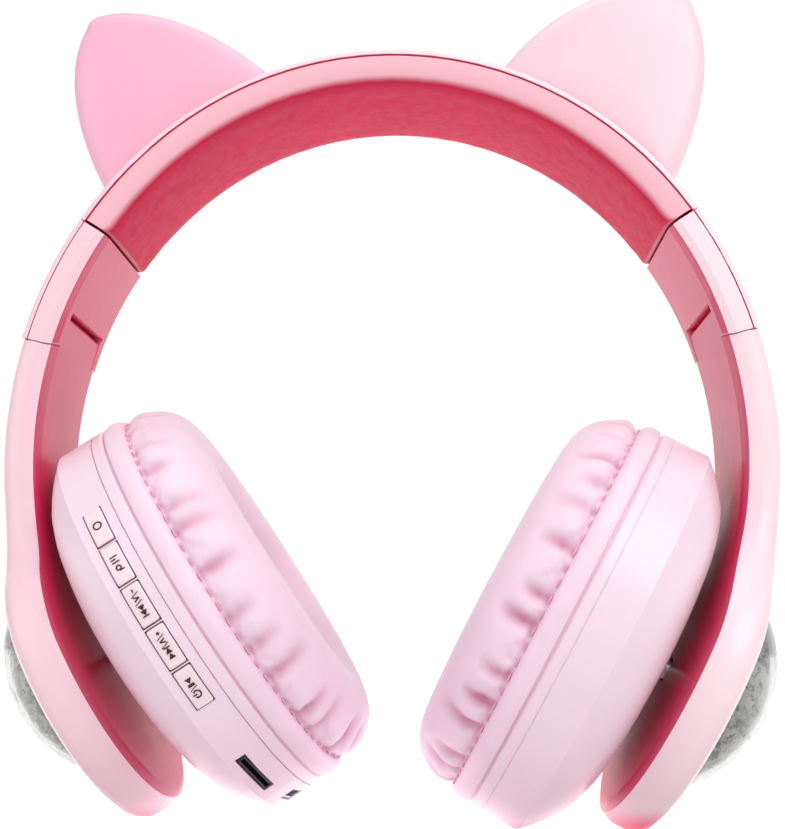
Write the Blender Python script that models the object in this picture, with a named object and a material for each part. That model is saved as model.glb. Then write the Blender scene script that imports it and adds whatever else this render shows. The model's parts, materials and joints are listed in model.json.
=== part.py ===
"""Folding over-ear headset with pointed ornaments on the band and a clear dome on each arm.

Metres, +Z up, +X to the wearer's one side, the wearer's cups face each other along X, and the control
buttons face -Y. The origin is the centre of the ellipse that the headband's outer face follows, which is
the middle of the space that the head fills.
"""

import math

import bmesh
import bpy
from mathutils import Matrix, Vector

# Headband: the outer face is an ellipse in the XZ plane, and angles are measured from its top.
ARCH_A = 0.0750
ARCH_B = 0.0815
BAND_HALF_WIDTH = 0.0150
BAND_DEPTH = 0.0069
ARCH_END = math.radians(55.2)
GAP = 0.0003

SHELL_DEPTH = 0.0013
PAD_TOP = SHELL_DEPTH + GAP
PAD_DEPTH = 0.0072
RECESS_HALF = 0.0104
RECESS_DEPTH = 0.0050
SPRING_HALF = 0.0080
SPRING_TOP = 0.0018
SPRING_BOTTOM = 0.0024
SPRING_END = math.radians(33)

# Ornaments: the control points of the outer edge, the tip, and the control points of the top edge. The one
# on the -X side is a little lower. A shell goes by (inset from the outline, distance from the middle plane).
EAR_EDGES = {
    1: (((0.0578, 0.0531), (0.0636, 0.0640), (0.0700, 0.0805), (0.0653, 0.0935)), (0.0645, 0.0960),
        ((0.0626, 0.0976), (0.0520, 0.1010), (0.0360, 0.0985), (0.0220, 0.0784))),
    -1: (((0.0578, 0.0531), (0.0652, 0.0650), (0.0705, 0.0820), (0.0650, 0.0930)), (0.0642, 0.0948),
         ((0.0624, 0.0958), (0.0540, 0.0983), (0.0380, 0.0945), (0.0220, 0.0784))),
}
EAR_FOOT_ANGLES = (23, 29, 35, 41, 46)
EAR_SHELL = [(0.0050, 0.0065), (0.0017, 0.0056), (0.0003, 0.0037), (0.0, 0.00016), (0.0017, 0.00016),
             (0.0024, 0.0036), (0.0060, 0.0050)]

# Adjuster: a straight strip that slides out of the arch's end.
STRIP_HALF = 0.0096
STRIP_THICKNESS = 0.0010
STRIP_INNER_ANGLE = math.radians(35.6)
STRIP_INNER_DEPTH = 0.0021
STRIP_END_DEPTH = 0.0029
STRIP_IN_HOUSING = 0.0065

# Fold hinge, in its own frame: u is the distance above the crease, and depth is measured from the face.
HINGE_END = math.radians(74.3)
COVER_DEPTH = 0.0012
HOUSING_TOP = COVER_DEPTH + GAP
PIN_U = 0.0045
PIN_DEPTH = 0.0044
PIN_RADIUS = 0.0012
PIN_HALF_LENGTH = 0.0134
PIN_CLEARANCE = 0.00005
CHEEK_INNER = 0.0113
TONGUE_HALF = 0.0110
TONGUE_RADIUS = 0.0029
POCKET_TOP = 0.0079
CHEEK_RADIUS = PIN_U
SHOULDER_RADIUS = CHEEK_RADIUS + GAP

# Arm: a strip that follows the same ellipse, then runs straight into a round disc.
DISC_TILT = math.radians(28.5)
DISC_RADIUS = 0.0305
DISC_BELOW_TANGENT = {1: 0.0068, -1: 0.0037}
DISC_CENTRE = {1: (0.0335, 0, -0.0322), -1: (-0.0350, 0, -0.0295)}
FLARE_START = -0.0330
STRIP_STEPS = 10
FLARE_STEPS = 8
DISC_STEPS = 26
ARM_TOP_DEPTH = BAND_DEPTH
ARM_DISC_DEPTH = 0.0086
THICKENING = (-0.0320, -0.0060)

# Cup, in its own frame: x outward along the cup's axis from the seam, z up, and radii from the axis.
CUP_SEAM = {1: (0.0348, 0, -0.0326), -1: (-0.0350, 0, -0.0291)}
CUP_TILT = {1: math.radians(29.2), -1: math.radians(32.7)}
CUP_TOE = {1: math.radians(3.2), -1: math.radians(-0.6)}
CUP_RADIUS = 0.0405
RING_HEIGHT = 0.0023
WALL_TOP = 0.0097
CUP_WALL = 0.0018
CUP_CONE = [(0.0397, 0.0105), (0.0383, 0.0120), (0.0359, 0.0140), (0.0334, 0.0158), (0.0306, 0.0171),
            (0.0272, 0.0181), (0.0216, 0.0189)]
CUP_TOP = 0.0190
CUP_INSIDE = [(0.0214, 0.0172), (0.0264, 0.0165), (0.0296, 0.0155), (0.0342, 0.0123), (0.0370, 0.0100)]
BALL_HEIGHT = 0.0147
BALL_RADIUS = 0.0040
LINER_INNER = 0.0042
LINER_OUTER = 0.0054
SOCKET_RADIUS = 0.0056
HUB_RADIUS = 0.0078
CUSHION_DEPTH = 0.0150
CUSHION_HOLE = 0.0205
POST_CIRCLE = 0.0345
POST_RADIUS = 0.0027
POST_FOOT = 0.0023
POST_TOP = 0.0128
SCREW_HOLE = 0.0013
SCREW_HEAD = 0.0021
POST_ANGLES = [math.radians(angle) for angle in (45, 165, 240)]

# Dome on the arm's disc, in the disc's frame: x outward along the disc's axis from the cup's seam.
DOME_CENTRE = 0.0187
DOME_RADIUS = 0.0248
DOME_WALL = 0.0012
DOME_BASE = 0.0290
DOME_FLANGE = 0.0242
DOME_FLANGE_THICKNESS = 0.0012
DISC_FACE = 0.0317
RECESS_FLOOR = 0.0250
RECESS_RADIUS = 0.0247

# Buttons on the left cup's wall: angles from the front, positive downwards.
BUTTON_NAMES = ["button_light", "button_mode", "button_previous", "button_next", "button_power"]
BUTTON_PITCH = math.radians(11.75)
BUTTON_GAP = math.radians(1.1)
BUTTON_FIRST = math.radians(-25.3)
BUTTON_LOW = 0.0046
BUTTON_HIGH = 0.0078
BUTTON_PROUD = 0.0004
BUTTON_ROOT = 0.0372
WINDOW_RADII = (0.0350, 0.0450)
SOCKET_LENGTH = 0.0120
CARD_ANGLE = math.radians(54.3)
CARD_HALF = math.radians(8.5)
CARD_HEIGHTS = (0.0064, 0.0080)
CHARGE_ANGLE = math.radians(80)
CHARGE_HALF = math.radians(5.4)
CHARGE_HEIGHTS = (0.0046, 0.0074)
AUDIO_ANGLE = math.radians(100)
JACK_BORE = 0.0018
JACK_RADIUS = 0.0028
JACK_INNER = 0.0300
JACK_FACE = CUP_RADIUS + 0.0003
JACK_HEIGHT = 0.0062

PINK = (0.86, 0.55, 0.64)
PAD_PINK = (0.83, 0.50, 0.60)
COLOURS = {
    "shell_pink": (PINK, 0.32, 0.0),
    "pad_pink": (PAD_PINK, 0.55, 0.0),
    "steel": ((0.55, 0.55, 0.57), 0.30, 1.0),
    "bezel_grey": ((0.42, 0.42, 0.44), 0.30, 0.9),
    "dome_clear": ((0.93, 0.95, 0.97), 0.05, 0.0),
    "reflector_silver": ((0.80, 0.80, 0.82), 0.18, 1.0),
    "board_green": ((0.03, 0.22, 0.10), 0.50, 0.0),
    "dark_plastic": ((0.03, 0.03, 0.035), 0.45, 0.0),
    "liner_white": ((0.75, 0.75, 0.73), 0.45, 0.0),
    "battery_silver": ((0.60, 0.60, 0.62), 0.40, 0.6),
}


def make_materials():
    made = {}
    for name, (colour, roughness, metallic) in COLOURS.items():
        material = bpy.data.materials.new(name)
        material.use_nodes = True
        shader = material.node_tree.nodes["Principled BSDF"]
        shader.inputs["Base Color"].default_value = (*colour, 1)
        shader.inputs["Roughness"].default_value = roughness
        shader.inputs["Metallic"].default_value = metallic
        made[name] = material
    return made


def add_object(name, mesh, material=None):
    obj = bpy.data.objects.new(name, mesh)
    bpy.context.scene.collection.objects.link(obj)
    if material:
        mesh.materials.append(MATERIALS[material])
        mesh.shade_smooth()
        mesh.set_sharp_from_angle(angle=math.radians(35))
    else:
        obj.hide_render = True
        obj.display_type = "WIRE"
    return obj


def loft(name, loops, material=None):
    """Solid through a row of equal loops, capped at both ends."""
    work = bmesh.new()
    rows = [[work.verts.new(point) for point in loop] for loop in loops]
    work.faces.new(rows[0])
    work.faces.new(rows[-1])
    count = len(rows[0])
    for low, high in zip(rows, rows[1:]):
        for i in range(count):
            j = (i + 1) % count
            work.faces.new((low[i], low[j], high[j], high[i]))
    return finish_mesh(name, work, material)


def finish_mesh(name, work, material):
    bmesh.ops.recalc_face_normals(work, faces=work.faces)
    mesh = bpy.data.meshes.new(name)
    work.to_mesh(mesh)
    work.free()
    return add_object(name, mesh, material)


def turned(name, profile, steps, material=None):
    """Solid of a closed (radius, x) profile turned about the local X axis. Radii of 0 share one point."""
    work = bmesh.new()
    rows = []
    for radius, x in profile:
        if radius == 0:
            rows.append([work.verts.new((x, 0, 0))] * steps)
            continue
        ring = []
        for step in range(steps):
            angle = 2 * math.pi * step / steps
            ring.append(work.verts.new((x, radius * math.cos(angle), radius * math.sin(angle))))
        rows.append(ring)
    for low, high in zip(rows, rows[1:] + rows[:1]):
        for i in range(steps):
            j = (i + 1) % steps
            corners = list(dict.fromkeys((low[i], low[j], high[j], high[i])))
            if len(corners) > 2:
                work.faces.new(corners)
    return finish_mesh(name, work, material)


def arc(centre_x, radius, start, end, count):
    """Points (radius, x) of a circle about (0, centre_x), by angle from the local X axis."""
    angles = [start + (end - start) * i / (count - 1) for i in range(count)]
    return [(radius * math.sin(a), centre_x + radius * math.cos(a)) for a in angles]


def boolean(target, tool, operation):
    modifier = target.modifiers.new(operation.title() + " " + tool.name, "BOOLEAN")
    modifier.operation = operation
    modifier.object = tool


def cut(target, tool):
    boolean(target, tool, "DIFFERENCE")


def add_empty(name, matrix, parent=None):
    empty = bpy.data.objects.new(name, None)
    empty.empty_display_size = 0.01
    bpy.context.scene.collection.objects.link(empty)
    empty.parent = parent
    empty.matrix_world = matrix
    bpy.context.view_layer.update()
    return empty


def attach(empty, *objects, local=False):
    """Parent objects to an empty. Meshes made in world coordinates are moved into its frame."""
    for obj in objects:
        if not local:
            obj.data.transform(empty.matrix_world.inverted())
        obj.parent = empty


# ---- Headband ----


def band_normal(side, angle):
    return Vector((side * math.sin(angle) / ARCH_A, 0, math.cos(angle) / ARCH_B)).normalized()


def band_point(side, angle, depth=0.0, y=0.0):
    """Point under the headband's outer face, at an angle from the top on one side."""
    face = Vector((side * ARCH_A * math.sin(angle), y, ARCH_B * math.cos(angle)))
    return face - depth * band_normal(side, angle)


def sweep(name, side, start, end, steps, section, material=None):
    """Solid of a (y, depth) section carried along the ellipse."""
    angles = [start + (end - start) * i / steps for i in range(steps + 1)]
    loops = [[band_point(side, a, depth, y) for y, depth in section] for a in angles]
    return loft(name, loops, material)


def mirrored(half):
    """A whole section from the (y, depth) points of its +Y half, listed from top to bottom."""
    return half + [(-y, depth) for y, depth in reversed(half)]


def make_headband():
    edge = BAND_HALF_WIDTH
    shell = mirrored([(edge - 0.0010, 0), (edge - 0.0002, 0.0005), (edge, SHELL_DEPTH)])
    sweep("headband_shell", 1, -ARCH_END, ARCH_END, 30, shell, "shell_pink")
    pad = mirrored(
        [
            (RECESS_HALF, RECESS_DEPTH),
            (RECESS_HALF, PAD_TOP),
            (edge - 0.0002, PAD_TOP),
            (edge, PAD_TOP + 0.0016),
            (edge, PAD_DEPTH - 0.0026),
            (edge - 0.0007, PAD_DEPTH - 0.0010),
            (edge - 0.0024, PAD_DEPTH),
        ]
    )
    sweep("headband_pad", 1, -ARCH_END, ARCH_END, 26, pad, "pad_pink")
    spring = mirrored([(SPRING_HALF, SPRING_TOP), (SPRING_HALF, SPRING_BOTTOM)])
    sweep("headband_spring", 1, -SPRING_END, SPRING_END, 16, spring, "steel")


# ---- Ornaments on the band ----


def ear_outline(side):
    """(x, z) of a pointed ornament, as if on the +X side: two convex edges, a rounded tip and a curved foot."""
    outer, tip, top = EAR_EDGES[side]
    foot = [band_point(1, math.radians(angle), -GAP).xz for angle in EAR_FOOT_ANGLES]
    return [Vector(p) for p in bezier(*outer, 7) + [tip] + bezier(*top, 7)] + foot


def bezier(p0, p1, p2, p3, count):
    points = []
    for i in range(count):
        t = i / (count - 1)
        weights = ((1 - t) ** 3, 3 * t * (1 - t) ** 2, 3 * t * t * (1 - t), t**3)
        x = sum(w * p[0] for w, p in zip(weights, (p0, p1, p2, p3)))
        z = sum(w * p[1] for w, p in zip(weights, (p0, p1, p2, p3)))
        points.append((x, z))
    return points


def make_ears(side):
    outline = ear_outline(side)
    centre = sum(outline, Vector((0, 0))) / len(outline)
    reach = sum((p - centre).length for p in outline) / len(outline)

    def loop(inset, y):
        scale = 1 - inset / reach
        return [(side * (centre.x + (p.x - centre.x) * scale), y, centre.y + (p.y - centre.y) * scale)
                for p in outline]

    letter = "R" if side > 0 else "L"
    for name, facing in (("ear_front_", -1), ("ear_back_", 1)):
        loft(name + letter, [loop(inset, facing * y) for inset, y in EAR_SHELL], "shell_pink")


# ---- Adjuster ----


def strip_frame(side):
    """Matrix whose Z runs down along the adjuster strip and X outward from it, and the length in the arch."""
    start = band_point(side, STRIP_INNER_ANGLE, STRIP_INNER_DEPTH)
    end = band_point(side, ARCH_END, STRIP_END_DEPTH)
    down = (end - start).normalized()
    across = Vector((0, -side, 0))
    return frame_matrix(start, across.cross(down), across, down), (end - start).length


def frame_matrix(origin, x_axis, y_axis, z_axis):
    matrix = Matrix((x_axis, y_axis, z_axis)).transposed().to_4x4()
    matrix.translation = origin
    return matrix


def block(name, lower, upper, material=None):
    (x0, y0, z0), (x1, y1, z1) = lower, upper
    return loft(name, [[(x0, y0, z), (x1, y0, z), (x1, y1, z), (x0, y1, z)] for z in (z0, z1)], material)


def rod(name, radius, start, end, steps, material=None):
    """Round bar between two points."""
    obj = turned(name, [(0, 0), (radius, 0), (radius, (end - start).length), (0, (end - start).length)],
                 steps, material)
    turn = Vector((1, 0, 0)).rotation_difference(end - start).to_matrix().to_4x4()
    obj.data.transform(Matrix.Translation(start) @ turn)
    return obj


def make_slider(letter, empty, length):
    total = length + STRIP_IN_HOUSING
    corner = 0.0020
    outline = [(STRIP_HALF - corner, 0), (STRIP_HALF, corner), (STRIP_HALF, total - corner),
               (STRIP_HALF - corner, total)]
    outline += [(-y, z) for y, z in reversed(outline)]
    faces = [[(x, y, z) for y, z in outline] for x in (-STRIP_THICKNESS, 0)]
    slider = loft("slider_" + letter, faces, "steel")
    attach(empty, slider, local=True)
    return slider


# ---- Fold hinge ----


def hinge_point(side, u, depth, y=0.0):
    """Point near the crease: u above it along the band, and depth under the band's outer face."""
    down = Vector((side * ARCH_A * math.cos(HINGE_END), 0, -ARCH_B * math.sin(HINGE_END))).normalized()
    face = band_point(side, HINGE_END, 0, y)
    return face - u * down - depth * band_normal(side, HINGE_END)


def hinge_prism(name, side, outline, y0, y1, material=None):
    """Solid of a (u, depth) outline in the hinge's frame, from y0 to y1."""
    return loft(name, [[hinge_point(side, u, d, y) for u, d in outline] for y in (y0, y1)], material)


def pin_arc(radius, start, end, count):
    """(u, depth) points about the pin. Angle 0 points away from the arch, 90 degrees towards the head."""
    angles = [math.radians(start + (end - start) * i / (count - 1)) for i in range(count)]
    return [(PIN_U - radius * math.cos(a), PIN_DEPTH + radius * math.sin(a)) for a in angles]


def make_hinge_housing(side, letter, empty, slider, length):
    edge = BAND_HALF_WIDTH
    start = ARCH_END + GAP / ARCH_B
    cover = mirrored([(edge - 0.0010, 0), (edge - 0.0002, 0.0005), (edge, COVER_DEPTH)])
    cover = sweep("hinge_cover_" + letter, side, start, HINGE_END, 8, cover, "shell_pink")
    body = mirrored([(edge, HOUSING_TOP), (edge, BAND_DEPTH - 0.0022), (edge - 0.0006, BAND_DEPTH - 0.0008),
                     (edge - 0.0020, BAND_DEPTH)])
    housing = sweep("hinge_housing_" + letter, side, start, HINGE_END, 8, body, "shell_pink")

    below, above = -0.0030, 0.0120
    pocket = hinge_prism("pocket_cutter_" + letter, side,
                         [(below, 0.0005), (below, above), (POCKET_TOP, above), (POCKET_TOP, 0.0005)],
                         -CHEEK_INNER, CHEEK_INNER)
    corner = pin_arc(CHEEK_RADIUS, 0, 70, 7) + [(PIN_U - 0.0014, above), (below, above), (below, PIN_DEPTH)]
    corner = hinge_prism("corner_cutter_" + letter, side, corner, -0.02, 0.02)
    bore = rod("bore_cutter_" + letter, PIN_RADIUS + PIN_CLEARANCE,
               hinge_point(side, PIN_U, PIN_DEPTH, -PIN_HALF_LENGTH - GAP),
               hinge_point(side, PIN_U, PIN_DEPTH, PIN_HALF_LENGTH + GAP), 16)
    slot = block("slot_cutter_" + letter, (-STRIP_THICKNESS - GAP, -STRIP_HALF - GAP, length - 0.002),
                 (0.0060, STRIP_HALF + GAP, length + STRIP_IN_HOUSING + 0.0004))
    middle = Vector((0, 0, length + 0.5 * STRIP_IN_HOUSING + 0.0002))
    outward = Vector((1, 0, 0))
    hole = rod("screw_cutter_" + letter, 0.00115, middle + 0.004 * outward, middle - 0.0034 * outward, 12)
    screw = turned("slider_screw_" + letter, [(0, 0.0007), (0.0016, 0.0007), (0.0018, GAP), (0.0009, GAP),
                                              (0.0009, -0.0030), (0, -0.0030)], 12, "steel")
    screw.data.transform(Matrix.Translation(middle))
    attach(empty, slot, hole, screw, local=True)
    for tool in (pocket, corner, bore, slot, hole):
        cut(housing, tool)
    cut(slider, hole)
    pin = rod("hinge_pin_" + letter, PIN_RADIUS, hinge_point(side, PIN_U, PIN_DEPTH, -PIN_HALF_LENGTH),
              hinge_point(side, PIN_U, PIN_DEPTH, PIN_HALF_LENGTH), 16, "steel")
    attach(empty, cover, housing, pocket, corner, bore, pin)


# ---- Arm ----


def arm_point(side, s, depth, y):
    """Point of the arm: s runs down its length, 0 where the ellipse goes over into a straight line."""
    tangent = math.pi / 2 + math.atan(math.tan(DISC_TILT) * ARCH_B / ARCH_A)
    if s <= 0:
        pace = math.hypot(ARCH_A * math.cos(tangent), ARCH_B * math.sin(tangent))
        return band_point(side, tangent + s / pace, depth, y)
    down = Vector((-side * math.sin(DISC_TILT), 0, -math.cos(DISC_TILT)))
    return band_point(side, tangent, depth, y) + s * down


def arm_start():
    tangent = math.pi / 2 + math.atan(math.tan(DISC_TILT) * ARCH_B / ARCH_A)
    pace = math.hypot(ARCH_A * math.cos(tangent), ARCH_B * math.sin(tangent))
    return (HINGE_END - tangent) * pace


def arm_outline(side, inset):
    """(s, half width) of the arm from the hinge to the disc's lowest point: strip, flare and disc."""
    half, radius = BAND_HALF_WIDTH - inset, DISC_RADIUS - inset
    below = DISC_BELOW_TANGENT[side]
    start = arm_start() - 0.0012
    strip = [(start + (FLARE_START - start) * i / STRIP_STEPS, half) for i in range(STRIP_STEPS)]
    drop = below - FLARE_START
    fillet = (drop**2 - DISC_RADIUS**2 + BAND_HALF_WIDTH**2) / (2 * (DISC_RADIUS - BAND_HALF_WIDTH))
    fillet_half = BAND_HALF_WIDTH + fillet
    meet = math.atan2(fillet_half, drop)
    flare = []
    for i in range(FLARE_STEPS):
        angle = meet + (math.pi / 2 - meet) * (1 - i / FLARE_STEPS)
        flare.append((FLARE_START + (fillet + inset) * math.cos(angle),
                      fillet_half - (fillet + inset) * math.sin(angle)))
    disc = []
    for i in range(DISC_STEPS + 1):
        angle = (math.pi - meet) * (1 - i / DISC_STEPS)
        disc.append((below + radius * math.cos(angle), max(radius * math.sin(angle), 0)))
    return strip + flare + disc


def arm_depth(s):
    """Thickness of the arm, which grows from the hinge to the disc."""
    start, end = THICKENING
    grown = min(max((s - start) / (end - start), 0), 1)
    return ARM_TOP_DEPTH + (ARM_DISC_DEPTH - ARM_TOP_DEPTH) * grown**2 * (3 - 2 * grown)


def make_arm_blank(side, letter):
    """The arm's outer form as a stack of outlines, closed across its outer and inner faces."""
    layers = [(0.0024, 0.0, 0), (0.0008, 0.0008, 0), (0.0, 0.0024, 0), (0.0, -0.0030, 1),
              (0.0010, -0.0009, 1), (0.0032, 0.0, 1)]
    work = bmesh.new()
    rows = []
    for inset, offset, from_inside in layers:
        outline = arm_outline(side, inset)
        row = []
        for sign in (1, -1):
            points = outline if sign > 0 else list(reversed(outline))[1:]
            for s, half in points:
                depth = offset + (arm_depth(s) if from_inside else 0)
                row.append(work.verts.new(arm_point(side, s, depth, sign * half)))
        rows.append(row)
    count = len(rows[0])
    for low, high in zip(rows, rows[1:]):
        for i in range(count):
            j = (i + 1) % count
            work.faces.new((low[i], low[j], high[j], high[i]))
    for row in (rows[0], rows[-1]):
        last = count - 1
        for i in range(count // 2):
            corners = list(dict.fromkeys((row[i], row[i + 1], row[last - i - 1], row[last - i])))
            work.faces.new(corners)
    return finish_mesh("arm_" + letter, work, "shell_pink")


def make_arm(side, letter, empty, disc_empty, pivot):
    arm = make_arm_blank(side, letter)
    deep, high = 0.0140, 0.0110
    clearance = [(-GAP, -0.0040), (-GAP, PIN_DEPTH)] + pin_arc(SHOULDER_RADIUS, 4, 78, 8)
    clearance += [(PIN_U, deep), (high, deep), (high, -0.0040)]
    clearance = hinge_prism("shoulder_cutter_" + letter, side, clearance, -0.02, 0.02)
    face = BAND_DEPTH - 0.0001
    last = 90 + math.degrees(math.acos((face - PIN_DEPTH) / TONGUE_RADIUS))
    tongue = [(-0.0040, PIN_DEPTH - TONGUE_RADIUS)] + pin_arc(TONGUE_RADIUS, 270, last, 9) + [(-0.0040, face)]
    tongue = hinge_prism("tongue_" + letter, side, tongue, -TONGUE_HALF, TONGUE_HALF)
    bore = rod("tongue_bore_cutter_" + letter, PIN_RADIUS + PIN_CLEARANCE,
               hinge_point(side, PIN_U, PIN_DEPTH, -0.02), hinge_point(side, PIN_U, PIN_DEPTH, 0.02), 16)
    recess = turned("dome_recess_cutter_" + letter, [(0, RECESS_FLOOR), (RECESS_RADIUS, RECESS_FLOOR),
                                                     (RECESS_RADIUS, 0.040), (0, 0.040)], 48)
    attach(disc_empty, recess, local=True)
    stud_top = disc_empty.matrix_world @ Vector((RECESS_FLOOR + 0.001, 0, 0))
    stud_axis = (disc_empty.matrix_world.to_3x3() @ Vector((1, 0, 0))).normalized()
    along = (stud_top - pivot).dot(stud_axis)
    hole = rod("stud_cutter_" + letter, 0.0024 + GAP, pivot + 0.003 * stud_axis,
               pivot + (along + 0.002) * stud_axis, 20)
    attach(empty, arm, clearance, tongue, bore, hole)
    cut(arm, clearance)
    boolean(arm, tongue, "UNION")
    for tool in (bore, recess, hole):
        cut(arm, tool)


def make_dome(letter, empty):
    top = DOME_BASE + DOME_FLANGE_THICKNESS
    rim = math.acos((top - DOME_CENTRE) / DOME_RADIUS)
    inner_rim = math.acos((DOME_BASE - DOME_CENTRE) / (DOME_RADIUS - DOME_WALL))
    outside = arc(DOME_CENTRE, DOME_RADIUS, 0, rim, 8)
    inside = arc(DOME_CENTRE, DOME_RADIUS - DOME_WALL, inner_rim, 0, 6)
    profile = outside + [(DOME_FLANGE, top), (DOME_FLANGE, DOME_BASE)] + inside
    dome = turned("dome_" + letter, profile, 36, "dome_clear")
    low = top + GAP
    edge = math.sqrt(DOME_RADIUS**2 - (low - DOME_CENTRE) ** 2) + 0.0003
    bezel = turned("dome_bezel_" + letter, [(edge, low), (0.0243, low), (0.0243, DISC_FACE + 0.0001),
                                            (0.0238, DISC_FACE + 0.0005), (edge, DISC_FACE + 0.0005)],
                   36, "bezel_grey")
    reflector = turned("reflector_" + letter, [(0, 0.0412), (0.0080, 0.0396), (0.0143, 0.0360),
                                               (0.0186, 0.0316), (0.0206, 0.0285), (0.0194, 0.0285),
                                               (0.0174, 0.0310), (0.0132, 0.0350), (0.0074, 0.0384),
                                               (0, 0.0400)], 14, "reflector_silver")
    board = turned("led_board_" + letter, [(0.0062, 0.0268), (0.0190, 0.0268), (0.0190, 0.0279),
                                           (0.0062, 0.0279)], 24, "board_green")
    attach(empty, dome, bezel, reflector, board, local=True)


# ---- Ball joint between arm and cup ----


def make_ball_stud(side, letter, arm_empty, disc_empty, pivot):
    """Ball on a stem, held in the arm's floor by a flange. Its stem is parallel to the disc's axis."""
    axis = (disc_empty.matrix_world.to_3x3() @ Vector((1, 0, 0))).normalized()
    floor = disc_empty.matrix_world @ Vector((RECESS_FLOOR, 0, 0))
    reach = (floor - pivot).dot(axis)
    neck = 0.0020
    waist = math.pi - math.asin(neck / BALL_RADIUS)
    ball = [(r, -x) for r, x in arc(0, BALL_RADIUS, 0, waist, 6)]
    profile = ball + [(neck, reach + GAP), (0.0045, reach + GAP), (0.0045, reach + 0.0014), (0, reach + 0.0014)]
    stud = turned("ball_stud_" + letter, profile, 14, "steel")
    stud.data.transform(frame_at(disc_empty, pivot))
    attach(arm_empty, stud)


def frame_at(empty, origin):
    matrix = empty.matrix_world.to_3x3().to_4x4()
    matrix.translation = origin
    return matrix


def make_liner(letter, empty):
    start, end = math.radians(48), math.radians(118)
    profile = arc(0, LINER_OUTER, start, end, 5) + arc(0, LINER_INNER, end, start, 5)
    liner = turned("pivot_liner_" + letter, profile, 18, "liner_white")
    attach(empty, liner, local=True)


# ---- Cup ----


def cup_matrix(side, tilt, toe, origin):
    """Frame of a cup or disc: X outward along its axis and down by tilt, Z up, front turned inward by toe."""
    outward = Vector((side * math.cos(tilt), 0, -math.sin(tilt)))
    across = Vector((0, side, 0))
    up = outward.cross(across)
    return frame_matrix(origin, outward, across, up) @ Matrix.Rotation(-toe, 4, "Z")


def make_cup_shell(letter):
    mouth = math.radians(46)
    socket = arc(BALL_HEIGHT, SOCKET_RADIUS, mouth, math.pi, 6)
    low = RING_HEIGHT + GAP
    wall = CUP_RADIUS - CUP_WALL
    outside = [(wall, low), (CUP_RADIUS, low), (CUP_RADIUS, WALL_TOP)] + CUP_CONE
    top = [(0.0120, CUP_TOP), (socket[0][0], CUP_TOP)]
    floor = BALL_HEIGHT - SOCKET_RADIUS - 0.0014
    inside = [(0, floor), (HUB_RADIUS, floor), (HUB_RADIUS, 0.0173)] + CUP_INSIDE + [(wall - 0.0004, 0.0082)]
    profile = outside + top + socket[:-1] + [(0, BALL_HEIGHT - SOCKET_RADIUS)] + inside
    return turned("cup_back_" + letter, profile, 48, "shell_pink")


def make_cup_front(letter):
    """Ring with a bottom plate that carries the driver in a central hole."""
    profile = [(0.0206, 0.0002), (CUP_RADIUS - 0.0004, 0.0002), (CUP_RADIUS, 0.0006), (CUP_RADIUS, RING_HEIGHT),
               (CUP_RADIUS - 0.0012, RING_HEIGHT), (CUP_RADIUS - 0.0012, 0.0019), (0.0206, 0.0019)]
    return turned("cup_front_" + letter, profile, 48, "shell_pink")


def make_cushion(letter):
    """Ring cushion: rolled skirt at the seam, a stitched dip, and a rounded face."""
    hole = CUSHION_HOLE
    depth = CUSHION_DEPTH
    profile = [(hole + 0.0010, -GAP), (hole - 0.0003, -0.0060), (hole + 0.0003, -0.0110),
               (hole + 0.0030, -depth + 0.0012), (hole + 0.0064, -depth), (0.0300, -depth + 0.0001),
               (0.0338, -depth + 0.0014), (0.0366, -0.0118), (0.0381, -0.0095), (0.0391, -0.0068),
               (0.0394, -0.0044), (0.0404, -0.0030), (0.0407, -0.0018), (0.0402, -GAP)]
    return turned("cushion_" + letter, profile, 36, "pad_pink")


def make_driver(letter):
    driver = turned("driver_" + letter, [(0, 0.0004), (0.0202, 0.0004), (0.0202, 0.0022), (0.0150, 0.0036),
                                         (0.0075, 0.0036), (0.0075, 0.0046), (0, 0.0046)], 28, "dark_plastic")
    grille = turned("driver_grille_" + letter, [(0, -0.0011), (0.0140, -0.0010), (0.0196, -0.0002),
                                                (0.0196, 0.0001), (0, 0.0001)], 28, "dark_plastic")
    return driver, grille


def make_posts(letter, back, front, empty):
    """Three screw posts inside the cup, with their screws through the front ring."""
    parts = []
    for number, angle in enumerate(POST_ANGLES, 1):
        y, z = POST_CIRCLE * math.cos(angle), POST_CIRCLE * math.sin(angle)
        at = Matrix.Translation((0, y, z))
        tag = f"_{letter}{number}"
        post = turned("post" + tag, [(0, POST_FOOT), (POST_RADIUS, POST_FOOT), (POST_RADIUS, POST_TOP),
                                     (0, POST_TOP)], 10)
        thread = turned("thread_cutter" + tag, [(0, 0.0015), (SCREW_HOLE, 0.0015), (SCREW_HOLE, 0.0092),
                                                (0, 0.0092)], 8)
        through = turned("through_cutter" + tag, [(0, -0.001), (0.0026, -0.001), (0.0026, 0.0011),
                                                  (SCREW_HOLE, 0.0011), (SCREW_HOLE, 0.003), (0, 0.003)], 8)
        screw = turned("cup_screw" + tag, [(0, 0.0003), (SCREW_HEAD - 0.0003, 0.0003), (SCREW_HEAD, 0.0006),
                                           (SCREW_HEAD, 0.0009), (0.0010, 0.0009), (0.0010, 0.0088),
                                           (0, 0.0088)], 8, "steel")
        for obj in (post, thread, through, screw):
            obj.data.transform(at)
        boolean(back, post, "UNION")
        cut(back, thread)
        cut(front, through)
        parts += [post, thread, through, screw]
    attach(empty, *parts, local=True)


def wall_block(name, angle, half_angle, radii, heights, material=None, steps=3):
    """Block that follows the cup's wall, centred at an angle from the front, positive downwards."""
    loops = []
    for i in range(steps + 1):
        turn = angle - half_angle + 2 * half_angle * i / steps
        y, z = math.cos(turn), -math.sin(turn)
        loops.append([(x, r * y, r * z) for r, x in (
            (radii[0], heights[0]), (radii[1], heights[0]), (radii[1], heights[1]), (radii[0], heights[1]))])
    return loft(name, loops, material)


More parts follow.
